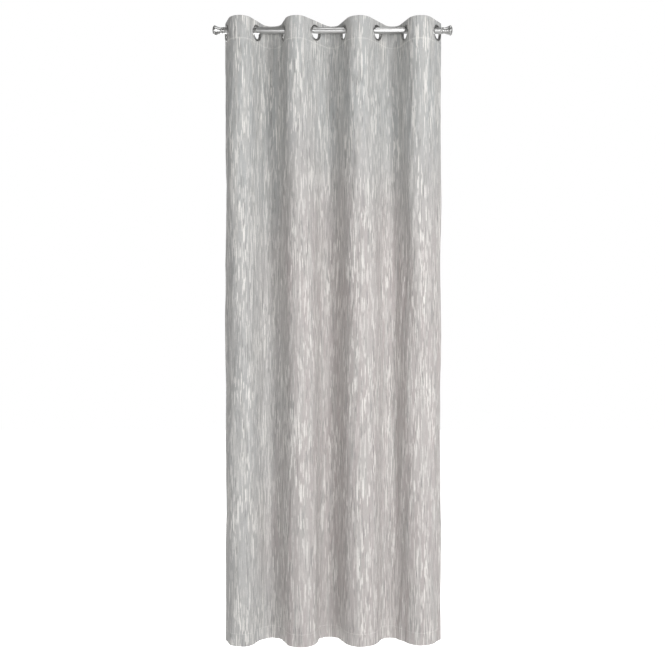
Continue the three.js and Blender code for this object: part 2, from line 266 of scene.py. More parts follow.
# ---------------------------------------------------------------- rows of the sheet
ROWS = {                     # rows of points in each stretch of the section
    "hem": 8, "hem_turn": 5, "front": 116, "puckers": 7, "heading": 22, "top_turn": 8, "back": 20,
}
PUCKERS = 0.020              # below the heading, where the rows lie closer
ROW_GAP = 0.002              # heading's end to the row below it
PINCH_TOP = 0.006            # heading's end to where the back layer starts to meet the front
PINCH_DROP = 0.008           # and the height in which it does


def turned_rows(middle_z, middle_w, radius, upward, count):
    """Rows where the cloth turns over: half a circle, at the top edge (1) or the hem (-1)."""
    made = []
    for angle in np.linspace(0, math.pi, count)[1:-1]:
        rise, side = upward * math.sin(angle), -upward * math.cos(angle)
        made.append((middle_z + radius * rise, middle_w + radius * side, side, rise, "turn"))
    return made


def sheet_rows():
    """The cloth's section as (height, offset, normal offset, normal height, layer):
    up the turned hem's back, round the hem, up the front, over the top and down."""
    heading_end = top_z - HEADING
    puckered, pinch_top = heading_end - PUCKERS, heading_end + PINCH_TOP
    rows = []
    for z in np.linspace(low_z + HEM, low_z + EDGE, ROWS["hem"]):
        rows.append((z, HEM_W, 1.0, 0.0, "hem"))
    radius = (HEM_W - FRONT_W) / 2
    middle_z = low_z + CLOTH / 2 + radius
    rows += turned_rows(middle_z, FRONT_W + radius, radius, -1, ROWS["hem_turn"])
    for z in np.linspace(low_z + EDGE, puckered, ROWS["front"]):
        rows.append((z, FRONT_W, -1.0, 0.0, "front"))
    for z in np.linspace(puckered, heading_end - ROW_GAP, ROWS["puckers"])[1:]:
        rows.append((z, FRONT_W, -1.0, 0.0, "front"))
    for z in np.linspace(heading_end, top_z - EDGE, ROWS["heading"]):
        rows.append((z, FRONT_W, -1.0, 0.0, "heading"))
    radius = (BACK_W - FRONT_W) / 2
    middle_z = top_z - CLOTH / 2 - radius
    rows += turned_rows(middle_z, FRONT_W + radius, radius, 1, ROWS["top_turn"])
    for z in np.linspace(top_z - EDGE, pinch_top, ROWS["back"]):
        rows.append((z, BACK_W, 1.0, 0.0, "heading"))
    for share in (0.25, 0.5, 0.75, 1.0):
        offset = BACK_W + (HEM_W - BACK_W) * ease(share)
        rows.append((pinch_top - PINCH_DROP * share, offset, 1.0, 0.0, "pinch"))
    return rows


rows = sheet_rows()
row_z = np.array([r[0] for r in rows])
row_w = np.array([r[1] for r in rows])
row_nw = np.array([r[2] for r in rows])
row_nz = np.array([r[3] for r in rows])
row_layer = [r[4] for r in rows]
row_v = np.concatenate([[0], np.cumsum(np.hypot(np.diff(row_z), np.diff(row_w)))])
front_rows = row_w == FRONT_W
FRONT_SEAM_V = float(np.interp(top_z - SEAM, row_z[front_rows], row_v[front_rows]))


def place(piece, share, z, w):
    """Points of the cloth at shares across a piece, heights and offsets to the back."""
    x, y, heading = plan(piece, share, z)
    off = w - unevenness(cloth_u(piece, share), z)
    return np.stack([x - off * np.sin(heading), y + off * np.cos(heading), z], axis=-1), heading


def new_object(name, verts, faces, materials, sharp_angle):
    """A smooth-shaded object in the scene, with sharp edges past an angle in degrees."""
    mesh = bpy.data.meshes.new(name)
    mesh.from_pydata([tuple(v) for v in verts], [], faces)
    for material in materials:
        mesh.materials.append(material)
    mesh.polygons.foreach_set("use_smooth", [True] * len(faces))
    mesh.set_sharp_from_angle(angle=math.radians(sharp_angle))
    obj = bpy.data.objects.new(name, mesh)
    bpy.context.scene.collection.objects.link(obj)
    return obj


class MeshMaker:
    """Collects vertices, faces, material slots and cloth coordinates for one mesh."""

    def __init__(self):
        self.verts, self.faces, self.slots, self.coords = [], [], [], []

    def add(self, verts, faces, slot=0, coords=None):
        base = len(self.verts)
        self.verts.extend(verts)
        self.coords.extend(np.zeros((len(verts), 3)) if coords is None else coords)
        self.faces.extend([base + v for v in face] for face in faces)
        self.slots.extend([slot] * len(faces))

    def build(self, name, materials):
        obj = new_object(name, self.verts, self.faces, materials, 60)
        obj.data.polygons.foreach_set("material_index", self.slots)
        attribute = obj.data.attributes.new("cloth", "FLOAT_VECTOR", "POINT")
        attribute.data.foreach_set("vector", np.array(self.coords, np.float32).ravel())
        obj.data.update()
        return obj


def hole_centres(piece):
    """(share, ring index) of each eyelet on a piece's edge."""
    if piece == 0:
        return [(1.0, 0)]
    if piece == COUNT:
        return [(0.0, COUNT - 1)]
    return [(0.0, piece - 1), (1.0, piece)]


def piece_width(piece):
    return MARGIN if piece in (0, COUNT) else PITCH


def sheet_grid(piece, heights, fewest):
    """Shares and heights of a grid of points over one piece."""
    columns = max(fewest, round(COLUMNS * piece_width(piece) / PITCH))
    share = np.linspace(0, 1, columns + 1)[:, None].repeat(len(heights), axis=1)
    return share, heights[None, :].repeat(columns + 1, axis=0)


def from_ring(piece, share, z, at, ring):
    """How far grid points lie from an eyelet's centre, across and up, and how far the
    cells' middles do."""
    du, dz = (share - at) * piece_width(piece), z - rings[ring]["z"]
    mid_u, mid_z = ((d[:-1, :-1] + d[1:, 1:]) / 2 for d in (du, dz))
    return du, dz, np.hypot(mid_u, mid_z)


def add_sheet(maker, keep, outer, inner, coords=None):
    """Adds a closed sheet: both faces of the cells that are kept, and the rim between."""
    columns, cells = keep.shape
    count, half = cells + 1, (columns + 1) * (cells + 1)
    faces, edges = [], {}
    for i, j in zip(*np.nonzero(keep)):
        a, b = int(i * count + j), int((i + 1) * count + j)
        quad = (a, b, b + 1, a + 1)
        faces.append(quad)
        faces.append(tuple(half + quad[n] for n in (0, 3, 2, 1)))
        for p, q in zip(quad, quad[1:] + quad[:1]):
            if (q, p) in edges:
                del edges[(q, p)]
            else:
                edges[(p, q)] = True
    faces += [(q, p, half + p, half + q) for p, q in edges]
    verts = np.concatenate([outer.reshape(-1, 3), inner.reshape(-1, 3)])
    used = sorted({v for face in faces for v in face})
    remap = {v: i for i, v in enumerate(used)}
    faces = [[remap[v] for v in face] for face in faces]
    maker.add(verts[used], faces, 0, None if coords is None else coords[used])


def side_layer(u):
    """Thickness that the side hem turned in behind adds, across the cloth and up it."""
    from_edge = np.minimum(u, FULL_WIDTH - u)
    single = (row_w == FRONT_W) & (row_z > low_z + HEM + SIDE_CLEAR)
    single &= row_z < top_z - HEADING - SIDE_CLEAR_TOP
    return np.clip((SIDE_HEM - from_edge) / SIDE_STEP + 0.5, 0, 1) * single * SIDE_LAYER


def make_cloth(piece, name, materials):
    """One piece of the cloth as a closed sheet, with its eyelet holes and its stitches."""
    share, z = sheet_grid(piece, row_z, 14)
    columns, cells = share.shape[0] - 1, share.shape[1] - 1
    in_heading = np.array([layer == "heading" for layer in row_layer])
    keep = np.ones((columns, cells), bool)
    for at, ring in hole_centres(piece):
        du, dz, middle = from_ring(piece, share, z, at, ring)
        inside = (middle < HOLE) & (in_heading[:-1] & in_heading[1:])[None, :]
        keep &= ~inside
        near, far = np.zeros(share.shape, bool), np.zeros(share.shape, bool)
        for di, dj in ((0, 0), (0, 1), (1, 0), (1, 1)):
            near[di:columns + di, dj:cells + dj] |= inside
            far[di:columns + di, dj:cells + dj] |= ~inside
        rim = near & far
        r = np.maximum(np.hypot(du, dz), 1e-9)
        share = np.where(rim, at + du / r * HOLE / piece_width(piece), share)
        z = np.where(rim, rings[ring]["z"] + dz / r * HOLE, z)
    w = row_w[None, :].repeat(columns + 1, axis=0)
    points, heading = place(piece, share, z, w)
    normal = np.stack([
        -np.sin(heading) * row_nw, np.cos(heading) * row_nw,
        np.broadcast_to(row_nz, heading.shape),
    ], axis=-1)
    u = cloth_u(piece, share)
    outer = points + normal * CLOTH / 2
    inner = points - normal * (CLOTH / 2 + side_layer(u)[..., None])
    front = np.stack([u, np.broadcast_to(row_v, u.shape), np.zeros_like(u)], axis=-1)
    coords = np.concatenate([front.reshape(-1, 3), (front + (0, 0, 1)).reshape(-1, 3)])
    maker = MeshMaker()
    add_sheet(maker, keep, outer, inner, coords)
    add_stitches(maker, piece)
    return maker.build(name, materials)


# ---------------------------------------------------------------- stitches
STITCH = 0.0050              # pitch along the heading and the hem
SIDE_STITCH = 0.0080         # pitch down the sides
THREAD = 0.00042             # radius of the thread
STITCH_FILL = 0.74           # share of the pitch that the thread covers
STITCH_STEPS = np.array([-0.5, -0.36, 0.0, 0.36, 0.5])   # along it, in stitch lengths
STITCH_GIRTH = np.array([0.25, 0.85, 1.0, 0.85, 0.25])   # there, in radii of the thread
PROUD, LEVEL, SUNK = 0.45, 0.30, -0.25   # thread's middle off the cloth, in its radii
STITCH_SIDES = 6
STITCH_RING = np.linspace(0, 2 * math.pi, STITCH_SIDES + 1)[:-1]


def add_stitch(maker, piece, share, z, offset, upright, length):
    """One thread stitch at a place on the cloth, lying along it or upright."""
    run = STITCH_STEPS[:, None] * length
    girth = STITCH_GIRTH[:, None] * THREAD
    sideways = np.sin(STITCH_RING)[None, :] * girth
    w = offset + np.cos(STITCH_RING)[None, :] * girth
    along, rise = (sideways, run) if upright else (run, sideways)
    at = np.broadcast_to(share + along / piece_width(piece), w.shape)
    points, _ = place(piece, at, np.broadcast_to(z + rise, w.shape), w)
    faces = []
    last = (len(STITCH_STEPS) - 1) * STITCH_SIDES
    for i in range(0, last, STITCH_SIDES):
        for j in range(STITCH_SIDES):
            k = (j + 1) % STITCH_SIDES
            faces.append((i + j, i + STITCH_SIDES + j, i + STITCH_SIDES + k, i + k))
    faces.append(tuple(range(STITCH_SIDES)))
    faces.append(tuple(last + j for j in reversed(range(STITCH_SIDES))))
    maker.add(points.reshape(-1, 3), faces, 1)


def add_stitches(maker, piece):
    """Rows of short stitches, front and back, along the heading, the hem and the sides."""
    width = piece_width(piece)
    front, behind = FRONT_W - CLOTH / 2, FRONT_W + CLOTH / 2 + SIDE_LAYER
    lines = [                # height, and the thread's middle off the plan line
        (top_z - SEAM, front - THREAD * PROUD),
        (top_z - SEAM, BACK_W + CLOTH / 2 + THREAD * LEVEL),
        (low_z + HEM_SEAM, front - THREAD * SUNK),
        (low_z + HEM_SEAM, HEM_W + CLOTH / 2 + THREAD * SUNK),
    ]
    start = cloth_u(piece, 0.0)
    first = math.ceil(start / STITCH)
    count = int((start + width - 1e-6) / STITCH) - first
    for height, offset in lines:
        for n in range(max(count, 0)):
            share = ((first + n + 0.5) * STITCH - start) / width
            add_stitch(maker, piece, share, height, offset, False, STITCH * STITCH_FILL)
    if piece not in (0, COUNT):
        return
    share = SIDE_SEAM / MARGIN if piece == 0 else 1 - SIDE_SEAM / MARGIN
    bottom, top = low_z + HEM + SIDE_CLEAR, top_z - HEADING - SIDE_CLEAR
    for n in range(int((top - bottom) / SIDE_STITCH)):
        z = bottom + (n + 0.5) * SIDE_STITCH
        for offset in (front - THREAD * SUNK, behind + THREAD * SUNK):
            add_stitch(maker, piece, share, z, offset, True, SIDE_STITCH * STITCH_FILL)


# ---------------------------------------------------------------- materials
RATE_LEAST = 0.6             # cells in one mean length of yarn, at least
RATE_SPREAD = 0.9            # and up to this many more
COLUMN_SHIFT = 61.0          # cells over which the columns are staggered
# width of a column, mean length of a streak, seed, share of the cells that show
LIGHT_SLUBS = (
    (0.0050, 0.080, 3.0, 0.34),
    (0.0076, 0.094, 11.0, 0.20),
    (0.0037, 0.066, 23.0, 0.38),
    (0.0060, 0.115, 57.0, 0.20),
)
DARK_SLUBS = (
    (0.0047, 0.086, 41.0, 0.30),
    (0.0072, 0.130, 77.0, 0.20),
)
WARP_PITCH = 0.0011          # of two warp threads side by side
WEFT_PITCH = 0.0012          # of two weft threads


def new_material(name):
    material = bpy.data.materials.new(name)
    material.use_nodes = True
    tree = material.node_tree
    tree.nodes.clear()
    out = tree.nodes.new("ShaderNodeOutputMaterial")
    shader = tree.nodes.new("ShaderNodeBsdfPrincipled")
    tree.links.new(shader.outputs["BSDF"], out.inputs["Surface"])
    return material, tree, shader


def node(tree, kind, **settings):
    """A new node, each setting going to the input or else the property of that name."""
    made = tree.nodes.new(kind)
    for key, value in settings.items():
        if key in made.inputs:
            made.inputs[key].default_value = value
        else:
            setattr(made, key, value)
    return made


def feed(tree, socket, value):
    """Gives an input a number, a colour or another node's output."""
    if isinstance(value, (int, float)):
        socket.default_value = value
    elif isinstance(value, tuple):
        socket.default_value = (*value, 1.0)
    else:
        tree.links.new(value, socket)


def math_node(tree, operation, *values):
    made = node(tree, "ShaderNodeMath", operation=operation)
    for socket, value in zip(made.inputs, values):
        feed(tree, socket, value)
    return made.outputs[0]


def times(tree, a, b):
    return math_node(tree, "MULTIPLY", a, b)


def minus(tree, a, b):
    return math_node(tree, "SUBTRACT", a, b)


def scale_add(tree, value, scale, added):
    """value times scale, plus added."""
    return math_node(tree, "MULTIPLY_ADD", value, scale, added)


def noise(tree, vector, scale, detail=2.0, roughness=0.5, offset=(0.0, 0.0, 0.0)):
    """A noise value over a vector stretched by a scale of three numbers."""
    mapping = node(tree, "ShaderNodeMapping", Scale=scale, Location=offset)
    tree.links.new(vector, mapping.inputs["Vector"])
    made = node(tree, "ShaderNodeTexNoise", Scale=1.0, Detail=detail, Roughness=roughness)
    tree.links.new(mapping.outputs[0], made.inputs["Vector"])
    return made.outputs[0]


def mix_colour(tree, factor, a, b, kind="MIX"):
    """Colour a going over to colour b as the factor goes from 0 to 1."""
    made = node(tree, "ShaderNodeMix", data_type="RGBA", blend_type=kind)
    for number, value in ((0, factor), (6, a), (7, b)):   # the inputs for colours
        feed(tree, made.inputs[number], value)
    return made.outputs[2]


def ramp(tree, value, low, high, kind="LINEAR"):
    """A line, or with SMOOTHSTEP a soft step, from 0 at low to 1 at high, held beyond both."""
    made = node(tree, "ShaderNodeMapRange", interpolation_type=kind)
    made.inputs["From Min"].default_value = low
    made.inputs["From Max"].default_value = high
    tree.links.new(value, made.inputs["Value"])
    return made.outputs["Result"]


def smooth_step(tree, value, low, high):
    return ramp(tree, value, low, high, "SMOOTHSTEP")


def white_noise(tree, x, y, z):
    """Three random numbers for whole-number places."""
    joined = tree.nodes.new("ShaderNodeCombineXYZ")
    for socket, value in zip(joined.inputs, (x, y, z)):
        feed(tree, socket, value)
    pick = node(tree, "ShaderNodeTexWhiteNoise", noise_dimensions="3D")
    tree.links.new(joined.outputs[0], pick.inputs["Vector"])
    split = tree.nodes.new("ShaderNodeSeparateColor")
    tree.links.new(pick.outputs["Color"], split.inputs[0])
    return split.outputs


def shade_colour(tree, value, low, high):
    """A grey from low to high as the value goes from 0 to 1."""
    made = tree.nodes.new("ShaderNodeCombineColor")
    level = scale_add(tree, value, high - low, low)
    for socket in made.inputs:
        tree.links.new(level, socket)
    return made.outputs[0]


def object_place(tree):
    return tree.nodes.new("ShaderNodeTexCoord").outputs["Object"]


def add_bump(tree, shader, height, strength, distance):
    bump = node(tree, "ShaderNodeBump", Strength=strength, Distance=distance)
    tree.links.new(height, bump.inputs["Height"])
    tree.links.new(bump.outputs[0], shader.inputs["Normal"])


def slub_layer(tree, u, v, width, length, seed, share):
    """Streaks of thicker yarn: each column of the given width is cut into lengths,
    and a share of them show, each with its own strength, width and ends."""
    column_place = scale_add(tree, u, 1.0 / width, seed)
    column = math_node(tree, "FLOOR", column_place)
    by_column = white_noise(tree, column, seed, 0.0)
    rate = scale_add(tree, by_column[0], RATE_SPREAD / length, RATE_LEAST / length)
    along = scale_add(tree, v, rate, times(tree, by_column[1], COLUMN_SHIFT))
    by_cell = white_noise(tree, column, math_node(tree, "FLOOR", along), seed)
    shown = smooth_step(tree, by_cell[0], 1.0 - share, 1.0 - share * 0.35)

    def within(position, random, half, spread, soft_out, soft_in):
        """1 inside a random half width round the middle of a cell, 0 outside it."""
        off_middle = minus(tree, math_node(tree, "FRACT", position), 0.5)
        off_middle = math_node(tree, "ABSOLUTE", off_middle)
        reach = scale_add(tree, random, spread, half)
        return smooth_step(tree, minus(tree, reach, off_middle), soft_out, soft_in)

    across = within(column_place, by_cell[1], 0.22, 0.22, -0.06, 0.08)
    ends = within(along, by_cell[2], 0.24, 0.22, -0.02, 0.16)
    return times(tree, times(tree, shown, across), ends)


def slubs(tree, u, v, layers):
    """The strongest of several layers of streaks."""
    total = None
    for width, length, seed, share in layers:
        layer = slub_layer(tree, u, v, width, length, seed, share)
        total = layer if total is None else math_node(tree, "MAXIMUM", total, layer)
    return total


def fabric_tint(tree, u, v, vector):
    """The ground's colour: cooler at the top and on the left, warmer low down and on the right."""
    blotch = noise(tree, vector, (3.1, 1.4, 1.0), offset=(4.0, 2.0, 0.0))
    from_top = scale_add(tree, blotch, 0.9, times(tree, v, -1.0))
    from_left = scale_add(tree, blotch, 0.5, u)
    right = scale_add(tree, smooth_step(tree, from_left, 0.46, 0.72), 0.78, 0.22)
    warm = times(tree, smooth_step(tree, from_top, -1.82, -1.02), right)
    return mix_colour(tree, warm, (0.4025, 0.4115, 0.4120), (0.4383, 0.3973, 0.3923))


def fabric_material():
    """Slub weave: u runs across the cloth, v up it, and reverse is 1 on its back."""
    material, tree, shader = new_material("slub_fabric")
    vector = node(tree, "ShaderNodeAttribute", attribute_name="cloth").outputs["Vector"]
    split = tree.nodes.new("ShaderNodeSeparateXYZ")
    tree.links.new(vector, split.inputs[0])
    u, v, reverse = split.outputs
    # threads wander a little sideways as they run down the cloth, and their edges fray
    wander = minus(tree, noise(tree, vector, (11.0, 4.0, 1.0)), 0.5)
    fray = minus(tree, noise(tree, vector, (340.0, 120.0, 1.0), 2.0, 0.6), 0.5)
    u_soft = scale_add(tree, fray, 0.0022, scale_add(tree, wander, 0.009, u))
    v_soft = scale_add(tree, noise(tree, vector, (620.0, 20.0, 1.0), 1.0), 0.030, v)
    light = slubs(tree, u_soft, v_soft, LIGHT_SLUBS)
    dark = slubs(tree, u_soft, v_soft, DARK_SLUBS)
    # the light slubs gather in patches
    patch = noise(tree, vector, (17.0, 4.2, 1.0), offset=(7.0, 1.0, 0.0))
    light = times(tree, light, scale_add(tree, ramp(tree, patch, 0.36, 0.62), 0.62, 0.40))
    broad = ramp(tree, noise(tree, vector, (46.0, 3.0, 1.0)), 0.35, 0.70)
    fine = ramp(tree, noise(tree, vector, (520.0, 40.0, 1.0), 3.0, 0.6), 0.35, 0.75)
    base = fabric_tint(tree, u, v, vector)
    for strength, where, colour in (
        (0.70, broad, (0.475, 0.466, 0.452)),
        (0.62, dark, (0.250, 0.248, 0.243)),
        (0.20, fine, (0.60, 0.59, 0.57)),
        (0.82, light, (0.800, 0.785, 0.752)),
    ):
        base = mix_colour(tree, times(tree, where, strength), base, colour)
    # plain weave of uneven yarn: warp and weft threads half a millimetre across
    yarn = noise(tree, vector, (900.0, 55.0, 1.0), 2.0, 0.6)
    cross = noise(tree, vector, (55.0, 850.0, 1.0), 2.0, 0.6)
    warp = math_node(tree, "SINE", times(tree, u, 2 * math.pi / WARP_PITCH))
    weft = math_node(tree, "SINE", times(tree, v, 2 * math.pi / WEFT_PITCH))
    weave = times(tree, warp, weft)
    threads = scale_add(tree, cross, 1.0, times(tree, weave, 0.22))
    threads = ramp(tree, scale_add(tree, yarn, 1.2, threads), 0.65, 1.55)
    base = mix_colour(tree, 1.0, base, shade_colour(tree, threads, 0.86, 1.12), "MULTIPLY")
    # the pressed band along the heading's seam catches more light
    from_seam = math_node(tree, "ABSOLUTE", minus(tree, v, FRONT_SEAM_V))
    band = minus(tree, 1.0, smooth_step(tree, from_seam, 0.0032, 0.0062))
    band = times(tree, band, scale_add(tree, ramp(tree, patch, 0.4, 0.6), 0.14, 0.02))
    base = mix_colour(tree, band, base, (0.780, 0.765, 0.732))
    back = mix_colour(tree, 0.35, base, (0.48, 0.47, 0.455))
    base = mix_colour(tree, ramp(tree, reverse, 0.4, 0.6), base, back)
    tree.links.new(base, shader.inputs["Base Color"])
    height = scale_add(tree, light, 0.9, times(tree, weave, 0.35))
    height = scale_add(tree, yarn, 1.1, height)
    add_bump(tree, shader, scale_add(tree, cross, 0.7, height), 0.45, 0.0007)
    tree.links.new(scale_add(tree, light, -0.16, 0.86), shader.inputs["Roughness"])
    shader.inputs["Sheen Weight"].default_value = 0.12
    shader.inputs["Sheen Roughness"].default_value = 0.45
    shader.inputs["Specular IOR Level"].default_value = 0.25
    return material


def fibre_material(name, scale, detail, uneven, colours, strength, distance, roughness):
    """Fine fibres in two shades, with a bump from the same noise."""
    material, tree, shader = new_material(name)
    fibres = noise(tree, object_place(tree), scale, detail, uneven)
    colour = mix_colour(tree, ramp(tree, fibres, 0.3, 0.7), *colours)
    tree.links.new(colour, shader.inputs["Base Color"])
    add_bump(tree, shader, fibres, strength, distance)
    shader.inputs["Roughness"].default_value = roughness
    return material


def metal_material(name, tint, roughness, grain, edge_highlight_share):
    """Satin metal: fine grain across the given axis, smudges, and a painted highlight that lightens
    the colour on the edges.
    """
    material, tree, shader = new_material(name)
    where = object_place(tree)
    lines = noise(tree, where, grain, 3.0, 0.6)
    smudge = noise(tree, where, (38.0, 38.0, 38.0), 3.0, 0.55)
    edge = ramp(tree, tree.nodes.new("ShaderNodeNewGeometry").outputs["Pointiness"], 0.51, 0.56)
    shade = mix_colour(tree, ramp(tree, lines, 0.25, 0.75), tuple(c * 0.90 for c in tint), tint)
    smudged = times(tree, ramp(tree, smudge, 0.45, 0.8), 0.25)
    shade = mix_colour(tree, smudged, shade, tuple(c * 0.74 for c in tint))
    # painted highlight: the colour is lightened on convex edges, where the pointiness is high
    edge_highlight = tuple(min(1.0, c * 1.28) for c in tint)
    shade = mix_colour(tree, times(tree, edge, edge_highlight_share), shade, edge_highlight)
    tree.links.new(shade, shader.inputs["Base Color"])
    rough = scale_add(tree, ramp(tree, smudge, 0.35, 0.75), 0.10, roughness)
    tree.links.new(scale_add(tree, lines, 0.08, rough), shader.inputs["Roughness"])
    add_bump(tree, shader, lines, 0.12, 0.0002)
    shader.inputs["Metallic"].default_value = 1.0
    return material


fabric = fabric_material()
thread = fibre_material("sewing_thread", (1500.0, 1500.0, 4200.0), 2.0, 0.5,
                        ((0.74, 0.73, 0.70), (0.90, 0.89, 0.86)), 0.4, 0.0002, 0.6)
buckram = fibre_material("heading_buckram", (900.0, 900.0, 700.0), 4.0, 0.7,
                         ((0.70, 0.68, 0.64), (0.88, 0.87, 0.83)), 0.5, 0.0003, 0.9)
eyelet_metal = metal_material("eyelet_nickel", (0.44, 0.44, 0.43), 0.26, (60.0, 60.0, 900.0), 0.5)
rod_metal = metal_material("rod_steel", (0.54, 0.54, 0.535), 0.30, (25.0, 1600.0, 1600.0), 0.2)
finial_metal = metal_material("finial_nickel", (0.50, 0.50, 0.495), 0.20, (900.0, 60.0, 60.0), 0.5)


# ---------------------------------------------------------------- lathed pieces
def lathe(name, profile, origin, axis, segments, material):
    """Turns a closed or on-axis profile of (radius, distance along axis) points."""
    axis = Vector(axis).normalized()
    side = axis.cross(Vector((0, 0, 1)))
    if side.length < 0.1:
        side = axis.cross(Vector((1, 0, 0)))
    side.normalize()
    up = side.cross(axis)
    verts, index = [], []
    for radius, along in profile:
        ring = []
        for n in range(1 if radius < 1e-7 else segments):
            angle = 2 * math.pi * n / segments
            spoke = side * math.cos(angle) + up * math.sin(angle)
            ring.append(len(verts))
            verts.append(Vector(origin) + axis * along + spoke * radius)
        index.append(ring)
    faces = []
    pairs = list(zip(index, index[1:]))
    if len(index[0]) > 1:
        pairs.append((index[-1], index[0]))
    for low, high in pairs:
        for n in range(segments):
            m = (n + 1) % segments
            if len(low) == 1:
                faces.append((low[0], high[m], high[n]))
            elif len(high) == 1:
                faces.append((low[n], low[m], high[0]))
            else:
                faces.append((low[n], low[m], high[m], high[n]))
    obj = new_object(name, verts, faces, [material], 50)
    fix_normals(obj)
    return obj


def fix_normals(obj):
    """Turns the faces outward if the closed mesh came out inside out."""
    mesh = obj.data
    volume = 0.0
    for polygon in mesh.polygons:
        corners = [mesh.vertices[i].co for i in polygon.vertices]
        for b, c in zip(corners[1:], corners[2:]):
            volume += corners[0].dot(b.cross(c))
    if volume < 0:
        mesh.flip_normals()


def arc(cx, cy, rx, ry, start, end, steps):
    """Points on an ellipse's arc, angles in degrees."""
    return [
        (cx + rx * math.cos(math.radians(a)), cy + ry * math.sin(math.radians(a)))
        for a in np.linspace(start, end, steps)
    ]


def finish(piece, node_name, body):
    """Lets a piece stand for a CAD node and its body."""
    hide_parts(node_name)
    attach(piece, body)


WASHER_GAP = 0.0013          # barrel's inside to the back washer's
BARREL = 0.0012              # wall of the barrel
DOME_FRONT = 0.0022          # height of the front flange's dome
DOME_BACK = 0.0017           # the same at the back
LIP = 0.0005                 # straight rim under a dome


def make_eyelet(k):
    """The eyelet's front flange with its barrel, and the washer behind the cloth."""
    ring = rings[k]
    origin = (ring["x"], 0.0, ring["z"])
    axis = (-math.sin(ring["turn"]), math.cos(ring["turn"]), 0.0)
    crown, half = (EYELET_R + BORE_R) / 2, (EYELET_R - BORE_R) / 2
    barrel_end = SEAT + 0.0016
    front = (
        [(BORE_R + BARREL, -SEAT), (EYELET_R - 0.0002, -SEAT)]
        + arc(crown, -SEAT - LIP, half, DOME_FRONT, 0, -180, 17)
        + [(BORE_R, barrel_end - BARREL), (BORE_R + LIP, barrel_end), (BORE_R + BARREL, barrel_end)]
    )
    inner = BORE_R + WASHER_GAP
    back = (
        [(inner, SEAT), (EYELET_R - 0.0001, SEAT)]
        + arc((EYELET_R + inner) / 2, SEAT + LIP, (EYELET_R - inner) / 2, DOME_BACK, 0, 180, 13)
    )
    for label, profile in (("front", front), ("back", back)):
        name = f"eyelet_ring_{label}_{k + 1}"
        piece = lathe(name, profile, origin, axis, 72, eyelet_metal)
        finish(piece, f"eyelet_{label}_{k + 1}", f"flank_{k + 1}")


TUBE_WALL = 0.0012
TUBE_EDGE = 0.0003           # bevel on the tube's rims
COLLAR_ROUND = 0.0007        # radius on the collars' edges
COLLAR_SLIM = 0.0003         # the collars stand this much under their CAD size


def make_rod():
    """The tube, and at each end its collar and its finial."""
    low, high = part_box("rod_tube")
    radius, half = (high[2] - low[2]) / 2, (high[0] - low[0]) / 2
    tube = [
        (radius - TUBE_WALL, -half), (radius - TUBE_EDGE, -half), (radius, -half + TUBE_EDGE),
        (radius, half - TUBE_EDGE), (radius - TUBE_EDGE, half), (radius - TUBE_WALL, half),
    ]
    rod = lathe("rod", tube, (0, 0, 0), (1, 0, 0), 96, rod_metal)
    finish(rod, "rod_tube", "rod")
    for label, side in (("left", -1), ("right", 1)):
        low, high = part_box(f"rod_collar_{label}")
        length, start = high[0] - low[0], min(abs(low[0]), abs(high[0]))
        inner = radius + 0.00005
        edge = (high[2] - low[2]) / 2 - COLLAR_SLIM - COLLAR_ROUND
        profile = (
            [(inner, 0.0)]
            + arc(edge, COLLAR_ROUND, COLLAR_ROUND, COLLAR_ROUND, -90, 0, 5)
            + arc(edge, length - COLLAR_ROUND, COLLAR_ROUND, COLLAR_ROUND, 0, 90, 5)
            + [(inner, length)]
        )
        origin, axis = (side * start, 0, 0), (side, 0, 0)
        collar = lathe(f"rod_end_ring_{label}", profile, origin, axis, 72, finial_metal)
        finish(collar, f"rod_collar_{label}", "rod")
        make_finial(label, side, start + length)


SPIGOT = 0.0108              # radius of the end that pushes into the tube
NECK = 0.0116                # radius of the finial's neck
BEAD = 0.0018                # half the length of a bead
BEAD_RISE = 0.0017           # and its height off its foot
BEAD_FOOT = 0.0007           # the beads' feet lie this far inside the neck
BEADS = ((0.0003, 0.0041, 0.0008), (0.0043, 0.0083, 0.0004))   # start, groove and its depth
FLARE_START = 0.0125         # rod's end to the foot of the trumpet
RIM_LOW, RIM_HIGH = 0.0118, 0.0066   # tip to the rim's near and far edges
RIM_SLIM = 0.0008            # the rim stands this much under its CAD size
RIM_ROUND, TIP_ROUND = 0.0008, 0.0010   # radii on its near and far edges
FLARE_INSET, DOME_INSET = 0.0012, 0.0018   # the rim stands this far out of the two


def make_finial(label, side, rod_end):
    """Spigot, two beads, a trumpet and a rim closed by a dome, from the rod's end outwards."""
    low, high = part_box(f"finial_{label}")
    spigot_end = min(abs(low[0]), abs(high[0])) - rod_end
    length = max(abs(low[0]), abs(high[0])) - rod_end
    rim = (high[2] - low[2]) / 2 - RIM_SLIM
    profile = [(0.0, spigot_end), (SPIGOT - 0.001, spigot_end),
               (SPIGOT, spigot_end + 0.0015), (SPIGOT, 0.0003)]
    for start, groove, depth in BEADS:
        profile += arc(NECK - BEAD_FOOT, start + BEAD, BEAD_RISE, BEAD, -80, 80, 9)
        profile.append((NECK - depth, groove))
    rim_low, rim_high = length - RIM_LOW, length - RIM_HIGH
    flare_end, flare_rise = rim_low - RIM_ROUND, rim - FLARE_INSET - NECK
    for share in np.linspace(0, 1, 22):
        flare = 0.72 * share + 0.28 * share ** 3
        profile.append((NECK + flare_rise * flare, FLARE_START + (flare_end - FLARE_START) * share))
    profile.append((rim - 0.0011, rim_low - 0.0006))
    profile += arc(rim - RIM_ROUND, rim_low + RIM_ROUND, RIM_ROUND, RIM_ROUND, -80, 0, 5)
    profile += arc(rim - TIP_ROUND, rim_high - TIP_ROUND, TIP_ROUND, TIP_ROUND, 0, 80, 5)
    profile += arc(0.0, rim_high, rim - DOME_INSET, length - rim_high, 6, 88, 14)
    profile.append((0.0, length))
    origin, axis = (side * rod_end, 0, 0), (side, 0, 0)
    finial = lathe(f"finial_cap_{label}", profile, origin, axis, 80, finial_metal)
    finish(finial, f"finial_{label}", f"finial_{label}")


